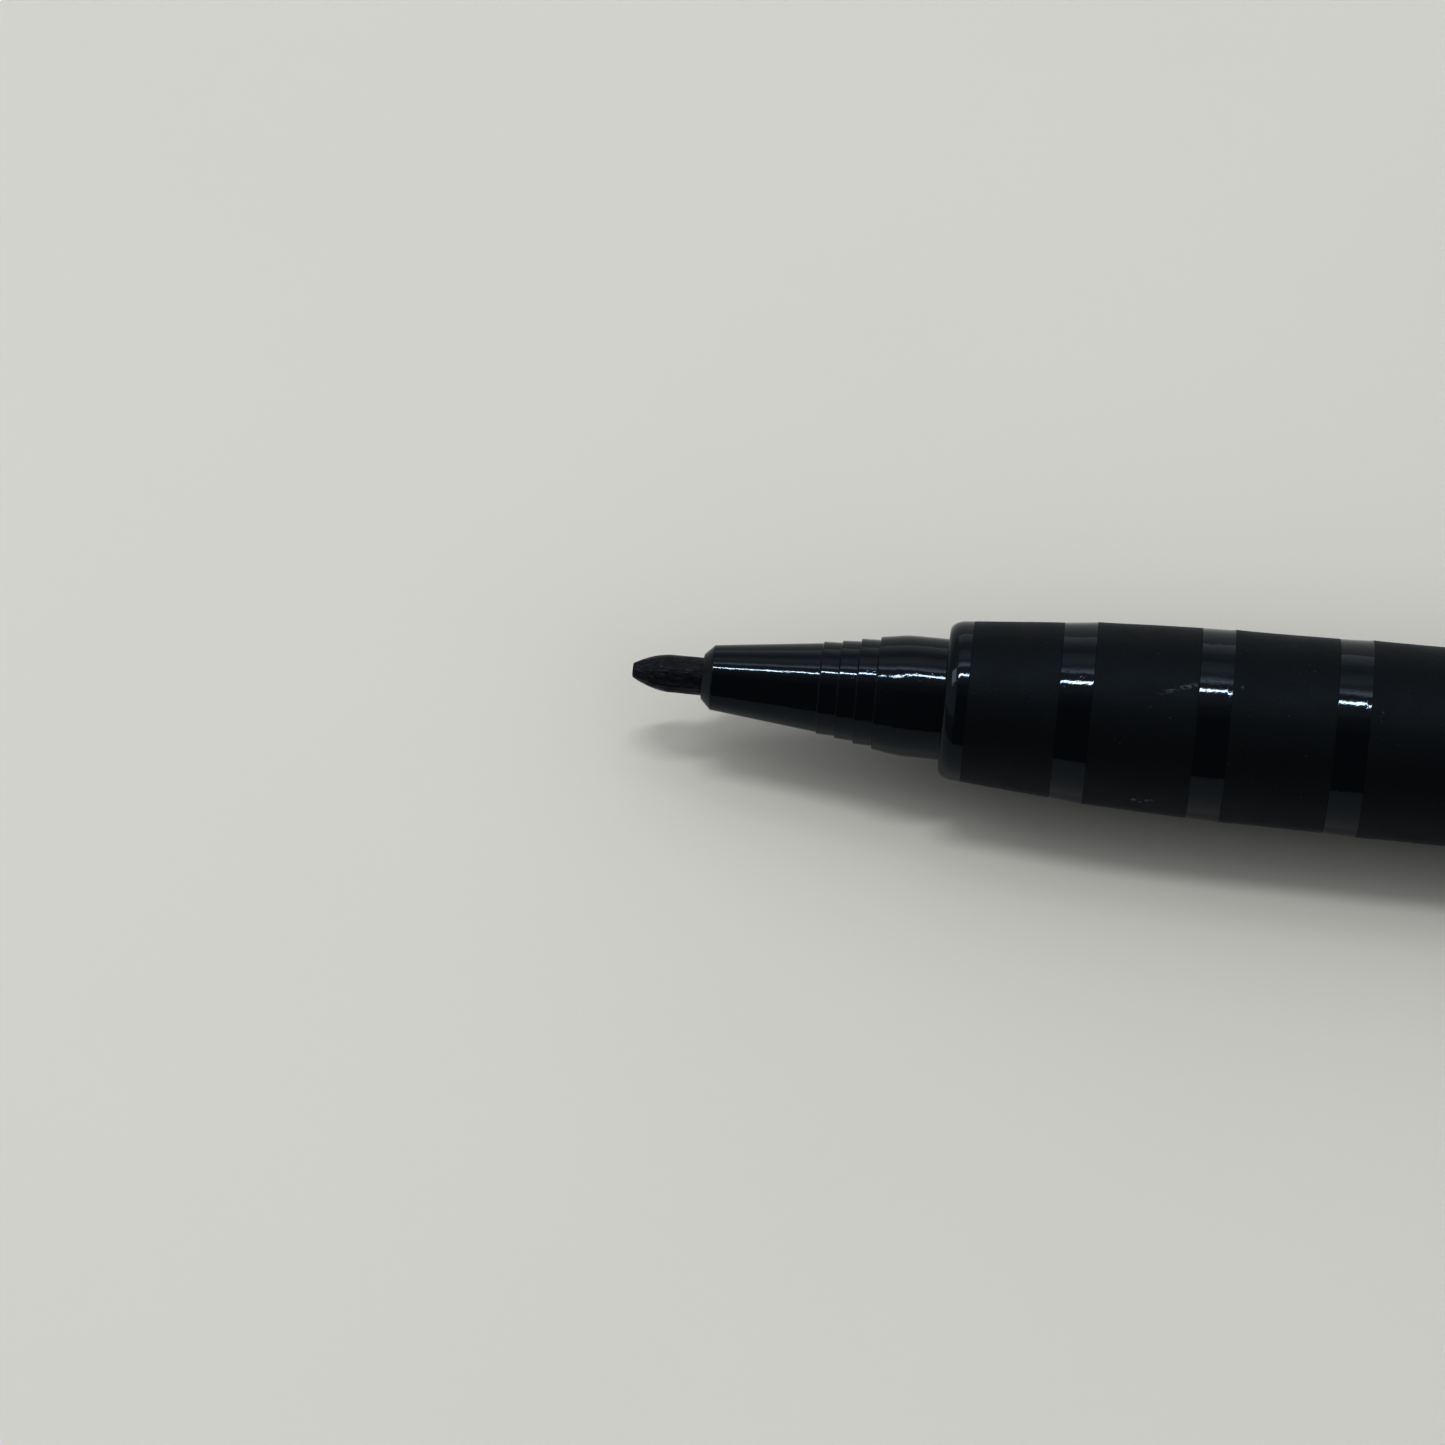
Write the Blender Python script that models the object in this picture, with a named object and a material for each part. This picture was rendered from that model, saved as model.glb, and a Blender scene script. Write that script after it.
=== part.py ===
"""A capped felt tip marker in its writing state: nib bare at the front, cap posted on the tail.

The marker lies on its belly along X, nib towards -X, on the plane Z = 0. Every length along the pen is
measured from the barrel's front rim, and every length along the cap from the cap's mouth.
"""

import math

import bmesh
import bpy
from mathutils import Matrix, Vector

MM = 0.001
SEGMENTS = 32
NIB_SEGMENTS = 20
GAP = 0.05 * MM

# Barrel: a cigar whose ends taper off exponentially from a cylindrical belly.
BARREL_LENGTH = 91.0 * MM
BELLY_RADIUS = 6.2 * MM
FRONT_TAPER, FRONT_REACH = 1.405 * MM, 10.1 * MM
TAIL_TAPER, TAIL_REACH = 1.2 * MM, 9.0 * MM
BELLY_START, BELLY_END = 44.0 * MM, 56.0 * MM
RIM_FILLET = 0.75 * MM
RIM_DROP = 0.06 * MM
MOUTH_RADIUS = 3.76 * MM
MOUTH_CHAMFER = 0.2 * MM
SEAT_START, SEAT_END, SEAT_RADIUS = 2.1 * MM, 8.6 * MM, 3.52 * MM
BORE_RADIUS = 4.15 * MM
TAIL_BORE_START, TAIL_BORE_RADIUS = 82.0 * MM, 4.3 * MM
BORE_RIBS = 6
BORE_RIB_WIDTH, BORE_RIB_TIP = 0.5 * MM, 3.99 * MM

# Grip: soft rings in grooves, with a glossy land of the barrel between each two.
GRIP_RINGS = 5
GRIP_START = 1.45 * MM
FIRST_RING_LENGTH, RING_LENGTH, LAND_LENGTH = 5.5 * MM, 6.4 * MM, 2.05 * MM
LAND_DROP = 0.12 * MM
GROOVE_DEPTH = 0.85 * MM
RING_EDGE = 0.15 * MM

# Nib and the holder that carries it.
NIB_TIP, NIB_END = -19.26 * MM, 14.0 * MM
NIB_RADIUS, NIB_FLAT_RADIUS, NIB_NOSE_LENGTH, NIB_POWER = 1.14 * MM, 0.38 * MM, 2.35 * MM, 1.8
HOLDER_FRONT, HOLDER_END = -14.78 * MM, 8.5 * MM
HOLDER_BORE = 1.2 * MM
HOLDER_FACE_RADIUS, HOLDER_CONE_START, HOLDER_CONE_RADIUS = 1.55 * MM, -14.14 * MM, 1.99 * MM
SEAL_STEPS = 4
STEP_START, STEP_PITCH = -7.67 * MM, 1.12 * MM
STEP_FOOT_RADIUS, STEP_TOP_RADIUS, STEP_RISE, STEP_SLOPE = 2.73 * MM, 2.82 * MM, 0.178 * MM, 0.05 * MM
COLLAR_START, COLLAR_RADIUS = -2.2 * MM, 3.70 * MM
SKIRT_RADIUS, SKIRT_BORE, SKIRT_BORE_START = 3.46 * MM, 2.4 * MM, 3.6 * MM
VENT_SLOTS, VENT_WIDTH = 4, 0.9 * MM

# Ink reservoir: a fibre bundle in a film sleeve.
FILM_START, FILM_END = 9.2 * MM, 74.2 * MM
FILM_RADIUS, FILM_WALL = 3.9 * MM, 0.12 * MM
FIBRE_MARGIN, FIBRE_RADIUS = 0.1 * MM, 3.7 * MM
FIBRE_BORE_RADIUS, FIBRE_BORE_END = 1.25 * MM, 14.8 * MM

# End plug: pressed into the tail, with a spigot like the nose for the cap.
PLUG_START, FLANGE_LENGTH, FLANGE_BEVEL = 83.0 * MM, 1.1 * MM, 0.2 * MM
PLUG_BORE = 3.3 * MM
FIN_START, FIN_END, FIN_RADIUS, FIN_THICKNESS = 74.5 * MM, 86.0 * MM, 3.5 * MM, 0.9 * MM
SPIGOT_COLLAR_LENGTH, SPIGOT_NECK_RADIUS = 2.45 * MM, 3.35 * MM
SPIGOT_LENGTH, SPIGOT_TIP_RADIUS, SPIGOT_EDGE = 7.15 * MM, 2.85 * MM, 0.35 * MM

# Cap, measured from its own mouth.
CAP_LENGTH = 38.0 * MM
CAP_MOUTH_RADIUS, CAP_SWELL, CAP_SWELL_REACH = 5.0 * MM, 0.25 * MM, 3.0 * MM
CAP_TAPER, CAP_TAPER_POWER = 0.95 * MM, 2.2
CAP_LIP_EDGE, CAP_DOME = 0.25 * MM, 0.9 * MM
CAP_BORE, CAP_BORE_END = 3.8 * MM, 22.4 * MM
CAP_CAVITY, CAP_CAVITY_END = 3.3 * MM, 35.2 * MM
DISC_SEAT_DEPTH, DISC_SEAT_RADIUS, DISC_HOLE = 1.2 * MM, 2.6 * MM, 2.0 * MM
LINER_START, LINER_RADIUS = 4.8 * MM, 3.74 * MM
LINER_MOUTH, LINER_LIP_START, LINER_LIP_END, LINER_LIP = 3.52 * MM, 7.2 * MM, 7.7 * MM, 2.88 * MM
LINER_CHAMBER, LINER_CHAMBER_END, LINER_WALL = 3.0 * MM, 21.3 * MM, 1.0 * MM
DISC_RADIUS, DISC_STEM, DISC_BARB, DISC_BARB_LENGTH = 2.53 * MM, 1.93 * MM, 2.2 * MM, 0.7 * MM
DISC_VENTS, DISC_VENT_RADIUS, DISC_VENT_CIRCLE, DISC_DROP = 3, 0.4 * MM, 1.1 * MM, 0.15 * MM

# Pocket clip: a root block held in a slot of the cap, and a springy arm.
CLIP_ROOT_START, CLIP_ROOT_END, CLIP_ROOT_WIDTH = 29.7 * MM, 34.3 * MM, 3.0 * MM
CLIP_TONGUE_WIDTH, CLIP_TONGUE_FOOT, CLIP_HOOK_LENGTH, CLIP_HOOK_TOP = 2.6 * MM, 2.6 * MM, 0.8 * MM, 3.1 * MM
CLIP_SLOT_WIDTH, CLIP_SLOT_MARGIN = 2.8 * MM, 0.1 * MM
CLIP_UNDERSIDE, CLIP_TOP = 6.3 * MM, 7.5 * MM
CLIP_SEAT = 4.75 * MM
CLIP_HINGE_GAP = 0.08 * MM
CLIP_TIP, CLIP_TIP_WIDTH, CLIP_TIP_ROUND = 2.2 * MM, 2.5 * MM, 0.9 * MM
CLIP_BEAD_START, CLIP_BEAD_END, CLIP_BEAD_FOOT = 3.4 * MM, 6.4 * MM, 5.32 * MM

# Where the pieces sit along the pen.
FLANGE_START = BARREL_LENGTH + GAP
SHOULDER = FLANGE_START + FLANGE_LENGTH
CAP_MOUTH = SHOULDER + 0.1 * MM
PEN_START, PEN_END = NIB_TIP, CAP_MOUTH + CAP_LENGTH
PEN_CENTRE = (PEN_START + PEN_END) / 2


def body_radius(x):
    """The barrel's outer radius at x, rubber included, before the rim's fillet."""
    front = FRONT_TAPER * math.exp(-x / FRONT_REACH)
    tail = TAIL_TAPER * math.exp(-(BARREL_LENGTH - x) / TAIL_REACH)
    return BELLY_RADIUS - front - tail


def cap_radius(x):
    """The cap's outer radius at x from its mouth, before the end's dome."""
    swell = CAP_SWELL * (1 - math.exp(-x / CAP_SWELL_REACH))
    return CAP_MOUTH_RADIUS + swell - CAP_TAPER * (x / CAP_LENGTH) ** CAP_TAPER_POWER


BELLY = body_radius((BELLY_START + BELLY_END) / 2)
# The belly rests on a facet, so the axis is one facet's apothem above the floor.
AXIS_HEIGHT = BELLY * math.cos(math.pi / SEGMENTS)


def ring_spans():
    """(start, end) of each grip ring's groove along the barrel."""
    spans = []
    start = GRIP_START
    for index in range(GRIP_RINGS):
        end = start + (RING_LENGTH if index else FIRST_RING_LENGTH)
        spans.append((start, end))
        start = end + LAND_LENGTH
    return spans


def clip_angle():
    """The turn about X, from straight up, that lays the clip's outer corner on the floor."""
    reach = math.hypot(CLIP_TOP, CLIP_ROOT_WIDTH / 2)
    lean = math.atan2(CLIP_ROOT_WIDTH / 2, CLIP_TOP)
    return math.pi - math.acos(AXIS_HEIGHT / reach) - lean


def axis_offset():
    """How far the axis stands to +Y, so that belly and clip reach equally far from X."""
    angle = clip_angle()
    clip_reach = CLIP_TOP * math.sin(angle) - CLIP_ROOT_WIDTH / 2 * math.cos(angle)
    return (clip_reach - AXIS_HEIGHT) / 2


def arc(centre_x, centre_r, radius, start_deg, end_deg, steps):
    """Points (x, r) on an arc, ends included."""
    points = []
    for i in range(steps + 1):
        angle = math.radians(start_deg + (end_deg - start_deg) * i / steps)
        points.append((centre_x + radius * math.cos(angle), centre_r + radius * math.sin(angle)))
    return points


def clear_scene():
    for obj in list(bpy.data.objects):
        bpy.data.objects.remove(obj)


def make_material(name, colour, roughness, metallic=0.0):
    material = bpy.data.materials.new(name)
    material.use_nodes = True
    shader = material.node_tree.nodes["Principled BSDF"]
    shader.inputs["Base Color"].default_value = (*colour, 1.0)
    shader.inputs["Roughness"].default_value = roughness
    shader.inputs["Metallic"].default_value = metallic
    return material


def make_empty(name, location, turn_x=0.0):
    empty = bpy.data.objects.new(name, None)
    bpy.context.collection.objects.link(empty)
    empty.location = location
    empty.rotation_euler.x = turn_x
    return empty


def add_object(name, bm, parent, material, smooth_deg=40):
    """Turns a bmesh into a named object that rides on an empty."""
    bmesh.ops.recalc_face_normals(bm, faces=bm.faces)
    mesh = bpy.data.meshes.new(name)
    bm.to_mesh(mesh)
    bm.free()
    obj = bpy.data.objects.new(name, mesh)
    bpy.context.collection.objects.link(obj)
    obj.parent = parent
    mesh.shade_smooth()
    mesh.set_sharp_from_angle(angle=math.radians(smooth_deg))
    if material:
        mesh.materials.append(material)
    return obj


def turned(name, outline, parent, material, segments=SEGMENTS):
    """A solid swept round X from a closed outline of (x, radius) points."""
    bm = bmesh.new()
    start = Matrix.Rotation(math.pi / segments, 4, "X")
    verts = [bm.verts.new(start @ Vector((x, 0, r))) for x, r in outline]
    edges = []
    for a, b in zip(range(len(outline)), [*range(1, len(outline)), 0]):
        on_axis = outline[a][1] == 0 and outline[b][1] == 0
        if not on_axis:
            edges.append(bm.edges.new((verts[a], verts[b])))
    bmesh.ops.spin(
        bm, geom=verts + edges, cent=(0, 0, 0), axis=(1, 0, 0), angle=math.tau, steps=segments, use_merge=True
    )
    bmesh.ops.remove_doubles(bm, verts=bm.verts, dist=1e-7)
    return add_object(name, bm, parent, material)


def add_box(bm, low, high, turn_x=0.0):
    """Adds a box from corner to corner, turned about X."""
    low, high = Vector(low), Vector(high)
    place = Matrix.Rotation(turn_x, 4, "X") @ Matrix.Translation((low + high) / 2)
    bmesh.ops.create_cube(bm, size=1, matrix=place @ Matrix.Diagonal((*(high - low), 1)))


def add_rod(bm, start, end, y, z, radius, segments):
    """Adds a cylinder along X."""
    place = Matrix.Translation(((start + end) / 2, y, z)) @ Matrix.Rotation(math.pi / 2, 4, "Y")
    bmesh.ops.create_cone(
        bm, cap_ends=True, segments=segments, radius1=radius, radius2=radius, depth=end - start, matrix=place
    )


def make_helper(name, bm, parent):
    """A cutter or an addition that only a Boolean uses."""
    helper = add_object(name, bm, parent, None)
    helper.hide_render = True
    helper.display_type = "WIRE"
    return helper


def combine(obj, helper, operation):
    modifier = obj.modifiers.new(helper.name, "BOOLEAN")
    modifier.operation = operation
    modifier.solver = "EXACT"
    modifier.object = helper


def make_barrel(parent, material):
    rim_radius = body_radius(RIM_FILLET) - RIM_DROP
    outline = [(MOUTH_CHAMFER, MOUTH_RADIUS), (0, MOUTH_RADIUS + MOUTH_CHAMFER)]
    outline += arc(RIM_FILLET, rim_radius - RIM_FILLET, RIM_FILLET, 180, 90, 3)
    spans = ring_spans()
    for index, (start, end) in enumerate(spans):
        floor = body_radius(start) - GROOVE_DEPTH
        last = index == len(spans) - 1
        before = RIM_DROP if index == 0 else LAND_DROP
        outline += [(start, body_radius(start) - before), (start, floor), (end, floor)]
        outline.append((end, body_radius(end) - (0 if last else LAND_DROP)))
    outline += [(BELLY_START, BELLY), (BELLY_END, BELLY)]
    tail_stations = (64, 71, 77, 82, 86, 89)
    outline += [(x * MM, body_radius(x * MM)) for x in tail_stations]
    outline += [
        (BARREL_LENGTH, body_radius(BARREL_LENGTH)),
        (BARREL_LENGTH, TAIL_BORE_RADIUS),
        (TAIL_BORE_START, TAIL_BORE_RADIUS),
        (TAIL_BORE_START, BORE_RADIUS),
        (SEAT_END, BORE_RADIUS),
        (SEAT_END, SEAT_RADIUS),
        (SEAT_START, SEAT_RADIUS),
        (SEAT_START, MOUTH_RADIUS),
    ]
    barrel = turned("barrel", outline, parent, material)
    ribs = bmesh.new()
    for index in range(BORE_RIBS):
        low = (SEAT_END + 1 * MM, -BORE_RIB_WIDTH / 2, BORE_RIB_TIP)
        high = (TAIL_BORE_START - 2 * MM, BORE_RIB_WIDTH / 2, BORE_RADIUS + 0.25 * MM)
        add_box(ribs, low, high, math.tau * (index + 0.5) / BORE_RIBS)
    combine(barrel, make_helper("barrel_ribs", ribs, parent), "UNION")


def make_grip_rings(parent, material):
    for index, (start, end) in enumerate(ring_spans()):
        inner = body_radius(start) - GROOVE_DEPTH + GAP
        low, high = start + GAP, end - GAP
        middle = (low + high) / 2
        outline = [
            (low, inner),
            (low, body_radius(low) - RING_EDGE),
            (low + RING_EDGE, body_radius(low + RING_EDGE)),
            (middle, body_radius(middle)),
            (high - RING_EDGE, body_radius(high - RING_EDGE)),
            (high, body_radius(high) - RING_EDGE),
            (high, inner),
        ]
        turned(f"grip_ring_{index + 1}", outline, parent, material)


def make_nib(parent, material):
    outline = [(NIB_END, 0), (NIB_TIP, 0)]
    nose_steps = 8
    for i in range(nose_steps + 1):
        along = NIB_NOSE_LENGTH * i / nose_steps
        share = ((NIB_NOSE_LENGTH - along) / NIB_NOSE_LENGTH) ** NIB_POWER
        outline.append((NIB_TIP + along, NIB_RADIUS - (NIB_RADIUS - NIB_FLAT_RADIUS) * share))
    bevel = 0.3 * MM
    outline += [(NIB_END - bevel, NIB_RADIUS), (NIB_END, NIB_RADIUS - bevel)]
    turned("nib", outline, parent, material, NIB_SEGMENTS)


def make_nib_holder(parent, material):
    outline = [
        (HOLDER_END, SKIRT_BORE),
        (SKIRT_BORE_START, SKIRT_BORE),
        (SKIRT_BORE_START, HOLDER_BORE),
        (HOLDER_FRONT, HOLDER_BORE),
        (HOLDER_FRONT, HOLDER_FACE_RADIUS),
        (HOLDER_CONE_START, HOLDER_CONE_RADIUS),
        (STEP_START, STEP_FOOT_RADIUS),
    ]
    for step in range(SEAL_STEPS - 1):
        x, radius = STEP_START + step * STEP_PITCH, STEP_TOP_RADIUS + step * STEP_RISE
        outline += [(x, radius), (x + STEP_PITCH, radius + STEP_SLOPE)]
    last = STEP_START + (SEAL_STEPS - 1) * STEP_PITCH
    outline.append((last, STEP_TOP_RADIUS + (SEAL_STEPS - 1) * STEP_RISE))
    outline += [
        ((last + COLLAR_START) / 2, COLLAR_RADIUS - 0.13 * MM),
        (COLLAR_START, COLLAR_RADIUS),
        (SEAT_START - GAP, COLLAR_RADIUS),
        (SEAT_START - GAP, SKIRT_RADIUS),
        (HOLDER_END, SKIRT_RADIUS),
    ]
    holder = turned("nib_holder", outline, parent, material)
    slots = bmesh.new()
    for index in range(VENT_SLOTS):
        low = (SKIRT_BORE_START + 1.2 * MM, -VENT_WIDTH / 2, SKIRT_BORE - 0.4 * MM)
        high = (HOLDER_END + 1 * MM, VENT_WIDTH / 2, SKIRT_RADIUS + 0.5 * MM)
        add_box(slots, low, high, math.tau * (index + 0.5) / VENT_SLOTS)
    combine(holder, make_helper("holder_vents", slots, parent), "DIFFERENCE")


def make_reservoir(parent, film_material, fibre_material):
    inner = FILM_RADIUS - FILM_WALL
    outline = [(FILM_START, inner), (FILM_START, FILM_RADIUS), (FILM_END, FILM_RADIUS), (FILM_END, inner)]
    turned("reservoir_film", outline, parent, film_material)
    start, end = FILM_START + FIBRE_MARGIN, FILM_END - FIBRE_MARGIN
    outline = [
        (end, 0),
        (FIBRE_BORE_END, 0),
        (FIBRE_BORE_END, FIBRE_BORE_RADIUS),
        (start, FIBRE_BORE_RADIUS),
        (start, FIBRE_RADIUS),
        (end, FIBRE_RADIUS),
    ]
    turned("reservoir_fibre", outline, parent, fibre_material)


def make_end_plug(parent, material):
    flange_radius = body_radius(BARREL_LENGTH)
    collar_end = SHOULDER + SPIGOT_COLLAR_LENGTH
    tip = SHOULDER + SPIGOT_LENGTH
    wall = 1.0 * MM
    outline = [
        (PLUG_START, PLUG_BORE),
        (PLUG_START, TAIL_BORE_RADIUS - GAP - 0.3 * MM),
        (PLUG_START + 0.3 * MM, TAIL_BORE_RADIUS - GAP),
        (FLANGE_START, TAIL_BORE_RADIUS - GAP),
        (FLANGE_START, flange_radius),
        (SHOULDER - FLANGE_BEVEL, flange_radius),
        (SHOULDER, flange_radius - FLANGE_BEVEL),
        (SHOULDER, COLLAR_RADIUS),
        (collar_end, COLLAR_RADIUS),
        (collar_end + SPIGOT_EDGE, SPIGOT_NECK_RADIUS),
        (tip - SPIGOT_EDGE, SPIGOT_TIP_RADIUS),
        (tip, SPIGOT_TIP_RADIUS - SPIGOT_EDGE),
        (tip, 0),
        (tip - wall, 0),
        (tip - wall, SPIGOT_TIP_RADIUS - wall),
        (collar_end, SPIGOT_NECK_RADIUS - wall),
        (SHOULDER, PLUG_BORE - 0.6 * MM),
        (FLANGE_START, PLUG_BORE),
    ]
    plug = turned("end_plug", outline, parent, material)
    fins = bmesh.new()
    half = FIN_THICKNESS / 2
    add_box(fins, (FIN_START, -FIN_RADIUS, -half), (FIN_END, FIN_RADIUS, half))
    cross = bmesh.new()
    add_box(cross, (FIN_START, -half, -FIN_RADIUS), (FIN_END, half, FIN_RADIUS))
    combine(plug, make_helper("plug_fin_level", fins, parent), "UNION")
    combine(plug, make_helper("plug_fin_upright", cross, parent), "UNION")


def make_cap_shell(parent, material):
    dome_radius = cap_radius(CAP_LENGTH - CAP_DOME)
    seat_floor = CAP_LENGTH - DISC_SEAT_DEPTH
    outline = [
        (0, CAP_BORE + 0.3 * MM),
        (0, CAP_MOUTH_RADIUS - CAP_LIP_EDGE),
        (CAP_LIP_EDGE, cap_radius(CAP_LIP_EDGE)),
    ]
    outline += [(x * MM, cap_radius(x * MM)) for x in (2.5, 6, 11, 17, 23, 29, 34)]
    outline += arc(CAP_LENGTH - CAP_DOME, dome_radius - CAP_DOME, CAP_DOME, 90, 0, 3)
    outline += [
        (CAP_LENGTH, DISC_SEAT_RADIUS),
        (seat_floor, DISC_SEAT_RADIUS),
        (seat_floor, DISC_HOLE),
        (CAP_CAVITY_END, DISC_HOLE),
        (CAP_CAVITY_END, CAP_CAVITY),
        (CAP_BORE_END, CAP_CAVITY),
        (CAP_BORE_END, CAP_BORE),
        (0.3 * MM, CAP_BORE),
    ]
    shell = turned("cap_shell", outline, parent, material)
    slot = bmesh.new()
    low = (CLIP_ROOT_START - CLIP_HOOK_LENGTH - CLIP_SLOT_MARGIN, -CLIP_SLOT_WIDTH / 2, CAP_CAVITY - 1 * MM)
    high = (CLIP_ROOT_END + CLIP_SLOT_MARGIN, CLIP_SLOT_WIDTH / 2, CLIP_TOP)
    add_box(slot, low, high)
    combine(shell, make_helper("clip_slot", slot, parent), "DIFFERENCE")


def make_cap_liner(parent, material):
    end = LINER_CHAMBER_END + LINER_WALL
    outline = [
        (LINER_START, LINER_MOUTH),
        (LINER_START, LINER_RADIUS),
        (end, LINER_RADIUS),
        (end, 0),
        (LINER_CHAMBER_END, 0),
        (LINER_CHAMBER_END, LINER_CHAMBER),
        (LINER_LIP_END + 0.3 * MM, LINER_CHAMBER),
        (LINER_LIP_END, LINER_LIP),
        (LINER_LIP_START, LINER_LIP),
    ]
    turned("cap_inner_seal", outline, parent, material)


def make_cap_disc(parent, material):
    head = CAP_LENGTH - DISC_SEAT_DEPTH + GAP
    barb = CAP_CAVITY_END - GAP
    outline = [
        (CAP_LENGTH - DISC_DROP, 0),
        (barb - DISC_BARB_LENGTH, 0),
        (barb - DISC_BARB_LENGTH, DISC_STEM - 0.2 * MM),
        (barb, DISC_BARB),
        (barb, DISC_STEM),
        (head, DISC_STEM),
        (head, DISC_RADIUS),
        (CAP_LENGTH - DISC_DROP, DISC_RADIUS),
    ]
    disc = turned("cap_end_disc", outline, parent, material)
    vents = bmesh.new()
    for index in range(DISC_VENTS):
        angle = math.tau * index / DISC_VENTS
        y, z = DISC_VENT_CIRCLE * math.sin(angle), DISC_VENT_CIRCLE * math.cos(angle)
        add_rod(vents, barb - 2 * MM, CAP_LENGTH + 1 * MM, y, z, DISC_VENT_RADIUS, 12)
    combine(disc, make_helper("disc_vents", vents, parent), "DIFFERENCE")


def make_clip_root(parent, material):
    """The block outside the cap, its tongue through the slot and the hook behind the wall."""
    block = bmesh.new()
    low = (CLIP_ROOT_START, -CLIP_ROOT_WIDTH / 2, CLIP_SEAT)
    add_box(block, low, (CLIP_ROOT_END, CLIP_ROOT_WIDTH / 2, CLIP_TOP))
    root = add_object("clip_root", block, parent, material)
    tongue = bmesh.new()
    half = CLIP_TONGUE_WIDTH / 2
    add_box(tongue, (CLIP_ROOT_START, -half, CLIP_TONGUE_FOOT), (CLIP_ROOT_END, half, CLIP_SEAT + 0.5 * MM))
    combine(root, make_helper("clip_tongue", tongue, parent), "UNION")
    hook = bmesh.new()
    low = (CLIP_ROOT_START - CLIP_HOOK_LENGTH, -half, CLIP_TONGUE_FOOT)
    add_box(hook, low, (CLIP_ROOT_START + 0.5 * MM, half, CLIP_HOOK_TOP))
    combine(root, make_helper("clip_hook", hook, parent), "UNION")


def make_clip_arm(pivot, material):
    """The arm, drawn about its pivot: a side outline extruded across, narrower at the tip."""
    end = -CLIP_HINGE_GAP
    tip = CLIP_TIP - CLIP_ROOT_START
    middle = (CLIP_UNDERSIDE + CLIP_TOP) / 2
    top, under, bead = CLIP_TOP - middle, CLIP_UNDERSIDE - middle, CLIP_BEAD_FOOT - middle
    bead_start, bead_end = CLIP_BEAD_START - CLIP_ROOT_START, CLIP_BEAD_END - CLIP_ROOT_START
    side = [
        (end, top),
        (tip + CLIP_TIP_ROUND, top),
        (tip + 0.3 * CLIP_TIP_ROUND, top - 0.3 * CLIP_TIP_ROUND),
        (tip, top - CLIP_TIP_ROUND),
        (tip, under),
        (bead_start, bead),
        ((bead_start + bead_end) / 2, bead),
        (bead_end, under),
        (end, under),
    ]
    bm = bmesh.new()
    face = bm.faces.new([bm.verts.new((x, -CLIP_ROOT_WIDTH / 2, z)) for x, z in side])
    made = bmesh.ops.extrude_face_region(bm, geom=[face])
    across = [v for v in made["geom"] if isinstance(v, bmesh.types.BMVert)]
    bmesh.ops.translate(bm, verts=across, vec=(0, CLIP_ROOT_WIDTH, 0))
    for vert in bm.verts:
        share = (vert.co.x - end) / (tip - end)
        vert.co.y *= 1 - share * (1 - CLIP_TIP_WIDTH / CLIP_ROOT_WIDTH)
    add_object("clip_arm", bm, pivot, material)


def main():
    clear_scene()
    gloss_black = make_material("gloss_black_plastic", (0.008, 0.009, 0.011), 0.22)
    soft_black = make_material("soft_black_rubber", (0.016, 0.017, 0.019), 0.72)
    felt = make_material("inked_felt", (0.006, 0.005, 0.008), 0.85)
    fibre = make_material("inked_fibre", (0.02, 0.018, 0.025), 0.9)
    film = make_material("clear_film", (0.75, 0.78, 0.8), 0.2)
    natural = make_material("natural_plastic", (0.78, 0.78, 0.75), 0.4)

    side = axis_offset()
    pen_axis = make_empty("pen_axis", (-PEN_CENTRE, side, AXIS_HEIGHT))
    make_nib(pen_axis, felt)
    make_nib_holder(pen_axis, gloss_black)
    make_barrel(pen_axis, gloss_black)
    make_grip_rings(pen_axis, soft_black)
    make_reservoir(pen_axis, film, fibre)
    make_end_plug(pen_axis, gloss_black)

    cap_axis = make_empty("cap_axis", (CAP_MOUTH - PEN_CENTRE, side, AXIS_HEIGHT), clip_angle())
    make_cap_shell(cap_axis, gloss_black)
    make_cap_liner(cap_axis, natural)
    make_cap_disc(cap_axis, gloss_black)
    make_clip_root(cap_axis, gloss_black)
    clip_pivot = make_empty("clip_pivot", (CLIP_ROOT_START, 0, (CLIP_UNDERSIDE + CLIP_TOP) / 2))
    clip_pivot.parent = cap_axis
    make_clip_arm(clip_pivot, gloss_black)
    bpy.context.view_layer.update()


main()
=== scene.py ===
"""The looks of a felt tip marker that lies on a pale table, its nib bare and its cap posted on the tail.

Lengths along the pen are measured from the barrel's front rim, and lengths along the cap from its mouth.
"""

import math

import bpy
import numpy as np
from mathutils import Matrix, Vector

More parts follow.
